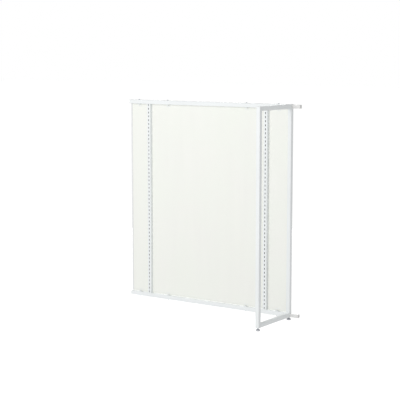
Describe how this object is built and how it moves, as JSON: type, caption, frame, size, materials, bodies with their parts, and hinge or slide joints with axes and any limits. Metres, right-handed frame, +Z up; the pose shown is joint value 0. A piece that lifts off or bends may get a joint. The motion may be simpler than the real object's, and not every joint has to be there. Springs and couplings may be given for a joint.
{
  "type": "partition wall bay",
  "caption": "Add-on bay of a modular display wall: square-tube frame with slotted uprights, recessed panels, an end frame on levelling feet, and spigots for the next bay.",
  "frame": {"origin": "on the floor, under the axis of the rear post", "axes": "+Z up; +X out of the spigots, towards the next bay; -Y the display side, where the front post stands"},
  "size_m": [1.31, 0.3898, 1.3439],
  "materials": {
    "frame_paint": "satin grey-white powder coat on steel tube",
    "panel_board": "matt off-white painted hardboard",
    "trim_plastic": "light grey extruded plastic",
    "cap_plastic": "light grey moulded plastic, fine texture",
    "spigot_steel": "light grey coat, rubbed along the edges",
    "spigot_cap_plastic": "grey moulded plastic",
    "zinc_steel": "zinc plated",
    "foot_plastic": "mid-grey moulded nylon, slightly blue",
    "foot_rubber": "anti-slip rubber",
    "insert_plastic": "black nylon"
  },
  "bodies": {
    "frame": {"front_post": "frame_paint", "rear_post": "frame_paint", "side_top_rail": "frame_paint", "side_bottom_rail": "frame_paint", "top_rail": "frame_paint", "bottom_rail": "frame_paint", "left_upright": "frame_paint", "right_upright": "frame_paint", "front_post_cap": "cap_plastic", "rear_post_cap": "cap_plastic", "top_inner_spigot": "spigot_steel", "bottom_inner_spigot": "spigot_steel", "top_outer_spigot": "spigot_steel", "bottom_outer_spigot": "spigot_steel", "inner_spigot_caps": "spigot_cap_plastic", "top_outer_spigot_cap": "spigot_cap_plastic", "bottom_outer_spigot_cap": "spigot_cap_plastic", "inner_spigot_nuts": "zinc_steel", "outer_spigot_nuts": "zinc_steel", "rail_lock_screws": "zinc_steel", "left_panel": "panel_board", "centre_panel": "panel_board", "right_panel": "panel_board", "left_edge_trim": "trim_plastic", "top_panel_clips": "frame_paint", "bottom_panel_clips": "frame_paint", "top_clip_screws": "zinc_steel", "bottom_clip_screws": "zinc_steel", "top_clip_washers": "zinc_steel", "bottom_clip_washers": "zinc_steel", "top_clip_nuts": "frame_paint", "bottom_clip_nuts": "frame_paint", "top_panel_rivets": "frame_paint", "bottom_panel_rivets": "frame_paint", "front_foot_insert": "insert_plastic", "front_foot_lock_nut": "zinc_steel", "rear_foot_insert": "insert_plastic", "rear_foot_lock_nut": "zinc_steel"},
    "front_foot_pad": {"front_foot_pad": "foot_plastic", "front_foot_sole": "foot_rubber"},
    "front_foot_stem": {"front_foot_stem": "zinc_steel"},
    "rear_foot_pad": {"rear_foot_pad": "foot_plastic", "rear_foot_sole": "foot_rubber"},
    "rear_foot_stem": {"rear_foot_stem": "zinc_steel"}
  },
  "joints": [
    {"name": "front_foot_travel", "type": "slide", "parent": "frame", "child": "front_foot_pad", "axis": [0, 0, -1], "range_m": [-0.0015, 0.018]},
    {"name": "front_foot_screw", "type": "hinge", "parent": "front_foot_pad", "child": "front_foot_stem", "pos_m": [0, -0.36, 0], "axis": [0, 0, -1], "range_deg": [-432, 5184]},
    {"name": "rear_foot_travel", "type": "slide", "parent": "frame", "child": "rear_foot_pad", "axis": [0, 0, -1], "range_m": [-0.0015, 0.018]},
    {"name": "rear_foot_screw", "type": "hinge", "parent": "rear_foot_pad", "child": "rear_foot_stem", "pos_m": [0, 0, 0], "axis": [0, 0, -1], "range_deg": [-432, 5184]}
  ],
  "couplings": [
    {"joint": "front_foot_travel", "follows": "front_foot_screw", "m_per_rad": 0.00019894},
    {"joint": "rear_foot_travel", "follows": "rear_foot_screw", "m_per_rad": 0.00019894}
  ]
}
